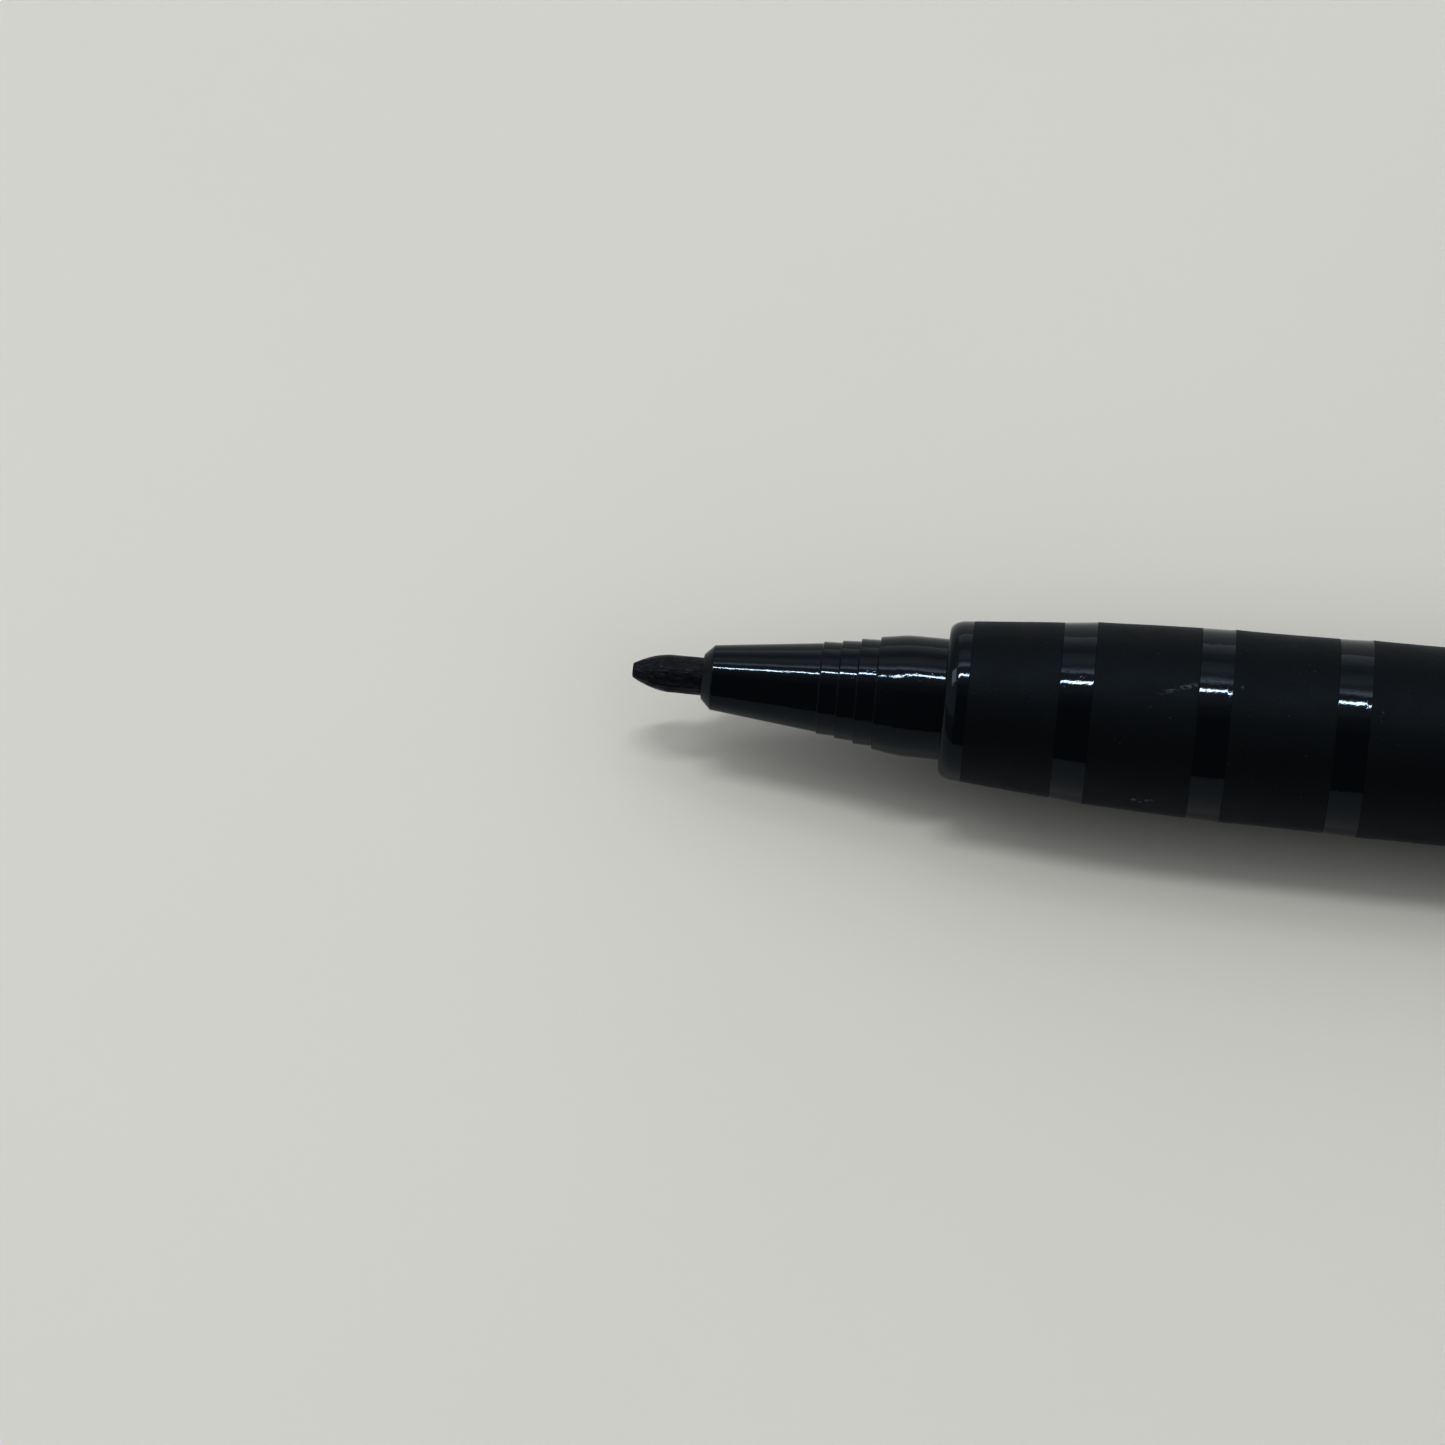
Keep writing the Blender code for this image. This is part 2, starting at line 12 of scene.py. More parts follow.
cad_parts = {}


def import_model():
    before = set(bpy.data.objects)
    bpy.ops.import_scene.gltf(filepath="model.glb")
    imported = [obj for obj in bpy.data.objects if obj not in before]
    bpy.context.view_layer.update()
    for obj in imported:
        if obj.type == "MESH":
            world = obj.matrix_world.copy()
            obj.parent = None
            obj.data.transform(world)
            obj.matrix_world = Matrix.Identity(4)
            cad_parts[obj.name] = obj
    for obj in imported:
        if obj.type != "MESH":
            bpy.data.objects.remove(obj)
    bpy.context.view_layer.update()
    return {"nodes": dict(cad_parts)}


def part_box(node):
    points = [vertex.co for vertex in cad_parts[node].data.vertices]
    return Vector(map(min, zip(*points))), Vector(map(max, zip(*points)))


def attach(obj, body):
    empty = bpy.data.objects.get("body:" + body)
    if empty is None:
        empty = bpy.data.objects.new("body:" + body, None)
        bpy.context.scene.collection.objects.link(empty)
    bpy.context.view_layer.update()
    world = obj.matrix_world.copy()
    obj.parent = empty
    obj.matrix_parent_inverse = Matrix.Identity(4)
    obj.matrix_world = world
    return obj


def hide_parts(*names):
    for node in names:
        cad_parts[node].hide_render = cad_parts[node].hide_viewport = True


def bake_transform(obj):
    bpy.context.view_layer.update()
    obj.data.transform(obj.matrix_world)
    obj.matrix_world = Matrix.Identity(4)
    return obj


MM = 0.001
SEED = 7

# Meshes: steps round the pen, an arc's steps, and how points beside an edge and along a stretch are spaced.
ROUND_SEGMENTS = 128
NIB_SEGMENTS = 120
ARC_STEP = math.radians(11)
SUPPORT = 0.04 * MM
SPACING = 0.7 * MM

# Barrel: a cigar whose ends taper off exponentially from a cylindrical belly.
BARREL_LENGTH = 91.0 * MM
BELLY_RADIUS = 6.165 * MM
FRONT_TAPER, FRONT_REACH = 1.4 * MM, 10.1 * MM
TAIL_TAPER, TAIL_REACH = 1.19 * MM, 9.0 * MM
# Grooves of the soft rings, as (start, end): a shorter one behind the rim, then four at an even pitch.
GRIP_PITCH = 8.45
GRIP_SPANS = [(1.45 * MM, 6.95 * MM)]
GRIP_SPANS += [((9.0 + GRIP_PITCH * i) * MM, (15.4 + GRIP_PITCH * i) * MM) for i in range(4)]
GROOVE_DEPTH = 0.8 * MM
# Inside the barrel: its mouth, the nose's seat, the reservoir's bore and the tail plug's seat.
MOUTH_DEPTH = 2.0 * MM
NOSE_SEAT_RADIUS, NOSE_SEAT_END = 3.55 * MM, 8.6 * MM
BORE_RADIUS = 4.15 * MM
PLUG_SEAT_RADIUS, PLUG_SEAT_START = 4.3 * MM, 82.0 * MM
RIM_ROUND_LENGTH, RIM_ROUND_HEIGHT = 1.05 * MM, 0.66 * MM
# The glossy lands lie just below the rings, and rise a little before the next ring.
LAND_DROP, LAND_RISE = 0.022 * MM, 0.3 * MM
# How far each soft ring sags towards its rear end, and how its front edge stands up.
RING_SAG = [0.06 * MM, 0, 0.045 * MM, 0.015 * MM, 0]
RING_LIFT, RING_LIFT_REACH = 0.03 * MM, 0.6 * MM
MOUTH_RADIUS, COLLAR_RADIUS = 3.78 * MM, 3.73 * MM
# Sealing steps of the nose: (x, radius in front of the step, radius behind it).
SEAL_STEPS = [
    (-7.7 * MM, 2.75 * MM, 2.85 * MM),
    (-6.55 * MM, 2.89 * MM, 3.02 * MM),
    (-5.4 * MM, 3.08 * MM, 3.25 * MM),
    (-4.22 * MM, 3.28 * MM, 3.47 * MM),
]

# Tail plug, and the cap posted on its spigot. Lengths along the cap are from its mouth.
SHOULDER = 92.15 * MM
CAP_MOUTH = 92.25 * MM
CAP_LENGTH = 38.0 * MM
CLIP_ROOT_START, CLIP_ROOT_END, CLIP_WIDTH = 29.7 * MM, 34.3 * MM, 3.0 * MM
CLIP_UNDERSIDE, CLIP_TOP, CLIP_FOOT = 6.3 * MM, 7.5 * MM, 4.2 * MM
CLIP_TIP, CLIP_TIP_WIDTH = 2.2 * MM, 2.5 * MM
CLIP_LEAN = math.radians(132.182)

# Colours in linear RGB. A pair of tones is (dark, pale).
GLOSS_TONES = (0.003, 0.004, 0.0068), (0.005, 0.0064, 0.0105)
RUBBER_TONES = (0.0014, 0.0017, 0.0036), (0.0027, 0.0031, 0.0054)
# The second colour here paints dust, specks and the scuff, and on the scuff it is partly a painted highlight.
RUBBER_SPECKLE, RUBBER_MARK_AND_HIGHLIGHT = (0.0075, 0.0085, 0.0125), (0.13, 0.14, 0.155)
FELT_BODY_TONES = (0.0006, 0.0005, 0.0011), (0.034, 0.027, 0.042)
FELT_POINT_TONES = (0.003, 0.005, 0.010), (0.034, 0.042, 0.062)
SEAL_TONES = (0.72, 0.72, 0.68), (0.8, 0.8, 0.77)
FIBRE_TONES = (0.01, 0.008, 0.014), (0.03, 0.028, 0.036)
FILM_TONES = (0.7, 0.74, 0.76), (0.82, 0.85, 0.86)
TABLE_TONES = (0.755, 0.745, 0.71), (0.78, 0.77, 0.735)

# Camera: where it looks, past the nib's tip and in front of the pen's axis.
CAMERA_AZIMUTH, CAMERA_ELEVATION = math.radians(5.88), math.radians(67)
CAMERA_DISTANCE, CAMERA_LENS = 430 * MM, 174.3
AIM_PAST_TIP, AIM_BEFORE_AXIS = 5.85 * MM, 2.94 * MM

# Softboxes: (name, tilts along and across the pen, turn, size along and across in degrees, radiance).
LIGHT_DISTANCE = 0.9
SOFTBOXES = [
    ("strip", -7, 16.0, 17, 23, 2.7, 26.0),
    ("panel", -40, 17.0, 0, 22, 20, 2.5),
]
# The room's radiance round the pen's axis, as (angle from straight up towards +Y in degrees, level).
# The middle faces the pen; the sides lie beyond its two ends.
ROOM_MIDDLE = [
    (-90, 0.12), (-20, 0.12), (-5, 0.25), (7, 0.55), (14, 0.75), (26, 0.6), (30, 2.9), (33, 1.8),
    (37, 0.8), (46, 1.05), (54, 0.85), (61, 0.5), (69, 0.6), (77, 0.9), (85, 1.1), (90, 1.3),
]
ROOM_SIDES = [
    (-90, 0.22), (-60, 0.27), (-38, 0.72), (-10, 0.72), (10, 0.7), (30, 0.7), (50, 0.48), (90, 0.48),
]
ROOM_COLOUR = (0.985, 1.0, 1.01)
MIDDLE_AT, SIDE_FROM, SIDE_TO = -0.09, 0.22, 0.36
# The view's tone curve.
EXPOSURE, CONTRAST = 0.263, 0.625

# Marks of use on the soft rings, by mm from the rim and degrees from straight up towards +Y. The scuff is
# also a painted highlight: it runs across the line where the strip light's highlight falls.
SCUFF_HIGHLIGHT_START, SCUFF_HIGHLIGHT_END = (12.5, -9.0), (15.35, 0.5)
SPECKS = [  # (along, tilt, size in mm, strength)
    (12.1, -84.0, 0.22, 1.0), (12.5, -86.0, 0.16, 0.7), (12.9, -83.0, 0.2, 0.9), (13.2, -82.0, 0.16, 0.6),
    (18.0, 1.0, 0.13, 0.5), (26.6, -7.0, 0.12, 0.3), (5.2, -30.0, 0.08, 0.2), (21.4, 14.0, 0.09, 0.25),
]


def surface_point(along, tilt):
    """A point of the grip in millimetres from the rim's centre, tilted from straight up towards +Y."""
    radius = body_radius(along * MM) / MM
    return along, radius * math.sin(math.radians(tilt)), radius * math.cos(math.radians(tilt))


def body_radius(x):
    """The barrel's outer radius at x, soft rings included."""
    front = FRONT_TAPER * math.exp(-x / FRONT_REACH)
    tail = TAIL_TAPER * math.exp(-(BARREL_LENGTH - x) / TAIL_REACH)
    return BELLY_RADIUS - front - tail


def bend(before, here, after, fillet):
    """The points of an arc that rounds one corner of an outline."""
    back, ahead = before - here, after - here
    half = back.angle(ahead) / 2
    cut = min(fillet / math.tan(half), 0.49 * back.length, 0.49 * ahead.length)
    radius = cut * math.tan(half)
    centre = here + (back.normalized() + ahead.normalized()).normalized() * (radius / math.sin(half))
    start = here + back.normalized() * cut - centre
    end = here + ahead.normalized() * cut - centre
    first = math.atan2(start.y, start.x)
    sweep = (math.atan2(end.y, end.x) - first + math.pi) % math.tau - math.pi
    steps = max(2, math.ceil(abs(sweep) / ARC_STEP))
    angles = [first + sweep * i / steps for i in range(steps + 1)]
    return [centre + radius * Vector((math.cos(a), math.sin(a))) for a in angles]


def supported(points, closed):
    """Adds points beside the ends of long straight stretches and along them, to keep shading even."""
    result = []
    pairs = list(zip(points, points[1:] + points[:1]))
    if not closed:
        pairs = pairs[:-1]
    for a, b in pairs:
        result.append(a)
        length = (b - a).length
        if length > 4 * SUPPORT:
            result.append(a.lerp(b, SUPPORT / length))
            inner = max(1, math.ceil(length / SPACING))
            result += [a.lerp(b, i / inner) for i in range(1, inner)]
            result.append(a.lerp(b, 1 - SUPPORT / length))
    if not closed:
        result.append(points[-1])
    return result


def rounded(corners, closed=True):
    """An outline's points from its corners, each (x, r) or (x, r, fillet)."""
    points = []
    for i, corner in enumerate(corners):
        here = Vector(corner[:2])
        is_end = not closed and i in (0, len(corners) - 1)
        if len(corner) == 2 or is_end:
            points.append(here)
            continue
        before = Vector(corners[i - 1][:2])
        after = Vector(corners[(i + 1) % len(corners)][:2])
        points += bend(before, here, after, corner[2])
    return supported(points, closed)


def raw_object(name, verts, faces, place):
    """An object at the origin whose mesh lies where place puts it."""
    mesh = bpy.data.meshes.new(name)
    mesh.from_pydata([place @ Vector(v) for v in verts], [], faces)
    mesh.validate()
    mesh.update()
    obj = bpy.data.objects.new(name, mesh)
    bpy.context.scene.collection.objects.link(obj)
    return obj


def combine(obj, operation, others, place):
    """Cuts other shapes, as (vertices, faces), from obj, or joins them to it."""
    helpers = []
    for verts, faces in others:
        helper = raw_object("helper", verts, faces, place)
        helpers.append(helper)
        modifier = obj.modifiers.new("combine", "BOOLEAN")
        modifier.operation = operation
        modifier.object = helper
    graph = bpy.context.evaluated_depsgraph_get()
    made = bpy.data.meshes.new_from_object(obj.evaluated_get(graph))
    obj.modifiers.clear()
    obj.data = made
    for helper in helpers:
        bpy.data.objects.remove(helper)


def finish_mesh(name, verts, faces, place, material, body, replaced, slot, sharp=35, cut=(), join=()):
    obj = raw_object(name, verts, faces, place)
    if join:
        combine(obj, "UNION", join, place)
    if cut:
        combine(obj, "DIFFERENCE", cut, place)
    mesh = obj.data
    mesh.shade_smooth()
    mesh.set_sharp_from_angle(angle=math.radians(sharp))
    mesh.materials.clear()
    mesh.materials.append(material)
    if body:
        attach(obj, body)
    if replaced:
        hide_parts(*replaced)
    return obj


def box(low, high):
    """Vertices and faces of an upright box."""
    verts = [(x, y, z) for x in (low[0], high[0]) for y in (low[1], high[1]) for z in (low[2], high[2])]
    faces = [(0, 1, 3, 2), (4, 6, 7, 5), (0, 4, 5, 1), (2, 3, 7, 6), (0, 2, 6, 4), (1, 5, 7, 3)]
    return verts, faces


def rod(start, end, y, z, radius, segments=32):
    """Vertices and faces of a round rod along X."""
    ring = [(y + radius * math.cos(math.tau * i / segments), z + radius * math.sin(math.tau * i / segments))
            for i in range(segments)]
    return loft([(start, ring), (end, ring)])


def loft(sections):
    """Vertices and faces of a solid through sections (x, [(y, z), ...]), closed at both ends."""
    count = len(sections[0][1])
    verts = [(x, y, z) for x, outline in sections for y, z in outline]
    faces = [tuple(reversed(range(count)))]
    for k in range(len(sections) - 1):
        for i in range(count):
            j = (i + 1) % count
            faces.append((k * count + i, k * count + j, (k + 1) * count + j, (k + 1) * count + i))
    faces.append(tuple(range((len(sections) - 1) * count, len(sections) * count)))
    return verts, faces


def lathe(points, segments, closed=True, shape=None):
    """Vertices and faces of an outline swept round X. shape may move a ring's points."""
    verts, rings = [], []
    for point in points:
        if point.y < 1e-9:
            rings.append([len(verts)])
            verts.append((point.x, 0, 0))
            continue
        ring = []
        for i in range(segments):
            angle = math.tau * i / segments
            x, r = shape(point.x, point.y, angle) if shape else (point.x, point.y)
            ring.append(len(verts))
            verts.append((x, -r * math.sin(angle), r * math.cos(angle)))
        rings.append(ring)
    faces = []
    pairs = list(zip(rings, rings[1:] + rings[:1]))
    if not closed:
        pairs = pairs[:-1]
    for a, b in pairs:
        if len(a) == 1 and len(b) == 1:
            continue
        for i in range(segments):
            j = (i + 1) % segments
            if len(a) == 1:
                faces.append((a[0], b[j], b[i]))
            elif len(b) == 1:
                faces.append((a[i], a[j], b[0]))
            else:
                faces.append((a[i], a[j], b[j], b[i]))
    return verts, faces


def feed(tree, socket, value):
    """Links an output to a socket, or puts a plain value on it."""
    if isinstance(value, bpy.types.NodeSocket):
        tree.links.new(value, socket)
    else:
        socket.default_value = value


def math_node(tree, operation, *values):
    """A Math node's result, from linked or plain values."""
    made = tree.nodes.new("ShaderNodeMath")
    made.operation = operation
    for socket, value in zip(made.inputs, values):
        feed(tree, socket, value)
    return made.outputs[0]


class Material:
    """A Principled material and short ways to wire its nodes. Lengths in it are millimetres."""

    def __init__(self, name, roughness):
        self.material = bpy.data.materials.new(name)
        self.material.use_nodes = True
        self.tree = self.material.node_tree
        self.shader = self.tree.nodes["Principled BSDF"]
        self.set(self.shader, "Roughness", roughness)
        coords = self.tree.nodes.new("ShaderNodeTexCoord")
        scale = self.tree.nodes.new("ShaderNodeVectorMath")
        scale.operation = "SCALE"
        self.tree.links.new(coords.outputs["Object"], scale.inputs[0])
        scale.inputs["Scale"].default_value = 1 / MM
        self.position = scale.outputs["Vector"]

    def set(self, node, socket, value):
        """Feeds one of a node's sockets, by name or number."""
        feed(self.tree, node.inputs[socket], value)

    def finish(self, **levels):
        """Sets the shader's own sockets, by name."""
        for socket, value in levels.items():
            self.set(self.shader, socket.replace("_", " "), value)

    def math(self, operation, *values):
        return math_node(self.tree, operation, *values)

    def stretched(self, factors):
        """The position, scaled differently along each axis."""
        made = self.tree.nodes.new("ShaderNodeMapping")
        self.set(made, "Vector", self.position)
        self.set(made, "Scale", factors)
        return made.outputs[0]

    def split(self, vector):
        """A vector's three parts."""
        made = self.tree.nodes.new("ShaderNodeSeparateXYZ")
        self.set(made, "Vector", vector)
        return made.outputs

    def noise(self, scale, detail, vector=None, rough=0.5, distortion=0.0):
        """Noise of so many features to the millimetre."""
        made = self.tree.nodes.new("ShaderNodeTexNoise")
        self.set(made, "Vector", vector or self.position)
        self.set(made, "Scale", scale)
        self.set(made, "Detail", detail)
        self.set(made, "Roughness", rough)
        self.set(made, "Distortion", distortion)
        return made.outputs[0]

    def ramp(self, value, low, high, out_low=0.0, out_high=1.0):
        """Maps low..high to out_low..out_high, held at both ends."""
        made = self.tree.nodes.new("ShaderNodeMapRange")
        made.interpolation_type = "SMOOTHSTEP"
        self.set(made, "Value", value)
        self.set(made, "From Min", low)
        self.set(made, "From Max", high)
        self.set(made, "To Min", out_low)
        self.set(made, "To Max", out_high)
        return made.outputs[0]

    def mix(self, factor, a, b):
        """Mixes two colours."""
        made = self.tree.nodes.new("ShaderNodeMix")
        made.data_type = "RGBA"
        self.set(made, 0, factor)
        for socket, colour in ((6, a), (7, b)):
            value = colour if isinstance(colour, bpy.types.NodeSocket) else (*colour, 1)
            self.set(made, socket, value)
        return made.outputs[2]

    def bump(self, height, distance, strength, normal=None):
        """Relief of a height, distance millimetres deep at a level of 1."""
        made = self.tree.nodes.new("ShaderNodeBump")
        self.set(made, "Height", height)
        self.set(made, "Distance", distance * MM)
        self.set(made, "Strength", strength)
        if normal:
            self.set(made, "Normal", normal)
        return made.outputs[0]


def gloss_plastic():
    """Moulded black plastic: faint flow in its colour, fine rubbing marks, a slightly wavy skin."""
    m = Material("gloss_black", 0.12)
    flow = m.noise(scale=0.35, detail=3)
    m.finish(Base_Color=m.mix(flow, *GLOSS_TONES))
    marks = m.noise(scale=3.0, detail=6, vector=m.stretched((0.35, 3.0, 3.0)), rough=0.65, distortion=0.4)
    patches = m.ramp(m.noise(scale=0.25, detail=2), 0.4, 0.7)
    wear = m.math("MULTIPLY", m.ramp(marks, 0.52, 0.72), patches)
    smooth, worn_more = 0.06, 0.14
    m.finish(Roughness=m.math("ADD", m.math("MULTIPLY", wear, worn_more), smooth))
    skin = m.bump(m.noise(scale=1.1, detail=2), distance=0.036, strength=0.32)
    pits = m.ramp(m.noise(scale=3.2, detail=2), 0.64, 0.72)
    relief = m.math("SUBTRACT", m.noise(scale=8.0, detail=3), m.math("MULTIPLY", pits, 1.2))
    m.finish(Normal=m.bump(relief, distance=0.005, strength=0.35, normal=skin))
    m.finish(IOR=1.56, Specular_Tint=(0.74, 0.9, 1.05, 1))
    m.finish(Sheen_Weight=0.1, Sheen_Roughness=0.15, Sheen_Tint=(0.7, 0.95, 1.2, 1))
    return m.material


def scuff_and_highlight_on(m, rim_mm):
    """A long broken pale streak on the second ring, fading in from its front end. It is partly a scuff and
    partly a painted highlight where it crosses the strip light's highlight line.
    """
    start, end = surface_point(*SCUFF_HIGHLIGHT_START), surface_point(*SCUFF_HIGHLIGHT_END)
    length = math.dist(start[:2], end[:2])
    line = m.tree.nodes.new("ShaderNodeMapping")
    line.vector_type = "TEXTURE"
    m.set(line, "Vector", m.position)
    m.set(line, "Location", (rim_mm[0] + start[0], rim_mm[1] + start[1], rim_mm[2]))
    m.set(line, "Rotation", (0, 0, math.atan2(end[1] - start[1], end[0] - start[0])))
    along, across, above = m.split(line.outputs[0])
    streak = m.ramp(m.math("ABSOLUTE", across), 0.04, 0.2, 1.0, 0.0)
    rising = m.ramp(along, 0.0, 0.75 * length)
    ending = m.ramp(along, length - 0.2, length, 1.0, 0.0)
    flecks = m.noise(scale=4.5, detail=3, vector=m.stretched((0.6, 1.5, 1.0)))
    broken = m.ramp(flecks, 0.42, 0.56)
    # The scuff's mask, which is also a painted highlight along the strip light's highlight line.
    scuff_and_highlight = m.math("MULTIPLY", m.math("MULTIPLY", streak, rising), m.math("MULTIPLY", ending, broken))
    return m.math("MULTIPLY", scuff_and_highlight, m.ramp(above, 0, 1))


def speck_on(m, rim_mm, along, tilt, size, level):
    """A round pale speck at a place on the grip."""
    place = surface_point(along, tilt)
    distance = m.tree.nodes.new("ShaderNodeVectorMath")
    distance.operation = "DISTANCE"
    m.set(distance, 0, m.position)
    m.set(distance, 1, [rim + part for rim, part in zip(rim_mm, place)])
    return m.ramp(distance.outputs["Value"], 0.4 * size, size, level, 0.0)


def soft_rubber(rim):
    """Matte black grip rubber: fine grain, dust, a long scuff on the second ring that is partly a painted
    highlight, and a few pale specks.
    """
    m = Material("soft_black", 0.6)
    rim_mm = [part / MM for part in rim]
    cloud = m.noise(scale=0.5, detail=4, rough=0.6)
    grain = m.noise(scale=6.5, detail=4, rough=0.75)
    speckle = m.math("MULTIPLY", m.ramp(grain, 0.45, 0.75), 0.35)
    base = m.mix(speckle, m.mix(cloud, *RUBBER_TONES), RUBBER_SPECKLE)
    dust = m.math("MULTIPLY", m.ramp(m.noise(scale=5.0, detail=2), 0.7, 0.8), 0.5)
    marks = m.math("MAXIMUM", scuff_and_highlight_on(m, rim_mm), dust)
    for speck in SPECKS:
        marks = m.math("MAXIMUM", marks, speck_on(m, rim_mm, *speck))
    # Pale marks: dust, specks and the scuff, the scuff partly a painted highlight.
    m.finish(Base_Color=m.mix(marks, base, RUBBER_MARK_AND_HIGHLIGHT))
    m.finish(Roughness=m.ramp(cloud, 0.3, 0.7, 0.455, 0.525))
    m.finish(Normal=m.bump(grain, distance=0.05, strength=0.6))
    m.finish(IOR=1.5, Specular_IOR_Level=0.39, Specular_Tint=(0.74, 0.94, 1.08, 1))
    m.finish(Sheen_Weight=0.3, Sheen_Roughness=0.16, Sheen_Tint=(0.85, 0.97, 1.1, 1))
    return m.material


def inked_felt(tip_x):
    """Bonded fibres soaked with ink: bundles run along the nib, and the worn tip is bluer and paler."""
    m = Material("inked_felt", 0.5)
    along_nib = m.stretched((0.22, 1.0, 1.0))
    strands = m.noise(scale=6.5, detail=4, vector=along_nib, rough=0.65, distortion=0.35)
    worn = m.ramp(m.split(m.position)["X"], tip_x / MM + 0.3, tip_x / MM + 1.4, 1.0, 0.0)
    threads = m.ramp(strands, 0.5, 0.62)
    m.finish(Base_Color=m.mix(worn, m.mix(threads, *FELT_BODY_TONES), m.mix(threads, *FELT_POINT_TONES)))
    wet = m.ramp(m.noise(scale=2.2, detail=3, vector=m.stretched((0.45, 1.0, 1.0))), 0.46, 0.56)
    dry_roughness, wet_less = 0.46, 0.3
    m.finish(Roughness=m.math("SUBTRACT", dry_roughness, m.math("MULTIPLY", wet, wet_less)))
    m.finish(Specular_IOR_Level=0.5, Specular_Tint=(0.75, 0.85, 1.0, 1))
    m.finish(Normal=m.bump(strands, distance=0.09, strength=0.8))
    return m.material


def inner_material(name, tones, roughness, grain):
    """A moulded or fibrous inner piece: two close tones and a grain."""
    m = Material(name, roughness)
    m.finish(Base_Color=m.mix(m.noise(scale=0.8, detail=4), *tones))
    m.finish(Normal=m.bump(m.noise(scale=grain, detail=3), distance=0.01, strength=0.4))
    return m.material


def clear_film():
    """Thin clear film, faintly cloudy and wrinkled."""
    m = Material("clear_film", 0.12)
    cloud = m.noise(scale=0.6, detail=3)
    m.finish(Base_Color=m.mix(cloud, *FILM_TONES), Transmission_Weight=0.8)
    m.finish(Normal=m.bump(cloud, distance=0.02, strength=0.3))
    return m.material


def table_top():
    """A plain pale table with broad, faint clouds."""
    m = Material("table_top", 0.6)
    m.finish(Base_Color=m.mix(m.noise(scale=0.02, detail=3), *TABLE_TONES))
    m.finish(Normal=m.bump(m.noise(scale=2.0, detail=3), distance=0.01, strength=0.3))
    return m.material


def ring_radius(index, x):
    """A soft ring's outer radius at x."""
    start, end = GRIP_SPANS[index]
    share = (x - start) / (end - start)
    lift = RING_LIFT * math.exp(-(x - start) / RING_LIFT_REACH) if index else 0
    return body_radius(x) + lift - RING_SAG[index] * math.sin(min(share * 1.6, 1) * math.pi / 2)


def barrel_outline():
    """The barrel: a round rim, a groove for each soft ring with a glossy land behind it, and the bores."""
    mouth_fillet, edge_fillet, rise_fillet, tail_fillet = 0.2 * MM, 0.015 * MM, 0.3 * MM, 0.06 * MM
    below_ring, below_next = 0.005 * MM, 0.01 * MM
    first, last = GRIP_SPANS[0][0], GRIP_SPANS[-1][1]
    corners = [(MOUTH_DEPTH, MOUTH_RADIUS), (0.0, MOUTH_RADIUS, mouth_fillet)]
    rim_top = body_radius(RIM_ROUND_LENGTH) + 0.02 * MM
    rim_steps = 14
    for i in range(rim_steps + 1):
        angle = math.pi / 2 * i / rim_steps
        x = RIM_ROUND_LENGTH * (1 - math.cos(angle))
        corners.append((x, rim_top - RIM_ROUND_HEIGHT * (1 - math.sin(angle))))
    corners.append((first, ring_radius(0, first) + 0.005 * MM, edge_fillet))
    last_index = len(GRIP_SPANS) - 1
    for index, (start, end) in enumerate(GRIP_SPANS):
        floor = body_radius(start) - GROOVE_DEPTH
        corners += [(start, floor), (end, floor)]
        corners.append((end, ring_radius(index, end) - below_ring, edge_fillet))
        if index < last_index:
            next_start = GRIP_SPANS[index + 1][0]
            next_radius = ring_radius(index + 1, next_start)
            corners.append((next_start - LAND_RISE, next_radius - 2 * LAND_DROP, rise_fillet))
            corners.append((next_start, next_radius - below_next, edge_fillet))
    count = 40
    for i in range(1, count):
        x = last + (BARREL_LENGTH - last) * i / count
        corners.append((x, body_radius(x)))
    corners += [
        (BARREL_LENGTH, body_radius(BARREL_LENGTH), tail_fillet),
        (BARREL_LENGTH, PLUG_SEAT_RADIUS),
        (PLUG_SEAT_START, PLUG_SEAT_RADIUS),
        (PLUG_SEAT_START, BORE_RADIUS),
        (NOSE_SEAT_END, BORE_RADIUS),
        (NOSE_SEAT_END, NOSE_SEAT_RADIUS),
        (MOUTH_DEPTH, NOSE_SEAT_RADIUS),
    ]
    return rounded(corners)


def ring_outline(index):
    """A soft ring: fills its groove, with small round edges."""
    start, end = GRIP_SPANS[index]
    gap, edge_fillet = 0.004 * MM, 0.025 * MM
    low, high = start + gap, end - gap
    inner = body_radius(start) - GROOVE_DEPTH + gap
    corners = [(low, inner), (low, ring_radius(index, low), edge_fillet)]
    steps = 12
    for i in range(1, steps):
        x = low + (high - low) * i / steps
        corners.append((x, ring_radius(index, x)))
    corners += [(high, ring_radius(index, high), edge_fillet), (high, inner)]
    return rounded(corners)


def nose_outline():
    """The nose: a cone with a bevelled front and four sealing steps, a collar, and a hollow plug."""
    front, bevel_end, collar_start = -14.93 * MM, -14.33 * MM, -2.5 * MM
    plug_start, hollow_start, plug_end = 1.99 * MM, 3.6 * MM, 8.5 * MM
    nib_hole, hollow, plug = 1.19 * MM, 2.4 * MM, 3.5 * MM
    step_length, inner_fillet, outer_fillet, collar_fillet = 0.05 * MM, 0.03 * MM, 0.035 * MM, 6.0 * MM
    corners = [
        (front, nib_hole, 0.05 * MM),
        (front, 1.40 * MM, 0.08 * MM),
        (bevel_end, 2.0 * MM, 0.1 * MM),
    ]
    for x, before, after in SEAL_STEPS:
        corners += [(x, before, inner_fillet), (x + step_length, after, outer_fillet)]
    corners += [
        (collar_start, COLLAR_RADIUS, collar_fillet),
        (plug_start, COLLAR_RADIUS),
        (plug_start, plug),
        (plug_end, plug),
        (plug_end, hollow),
        (hollow_start, hollow),
        (hollow_start, nib_hole),
    ]
    return rounded(corners)


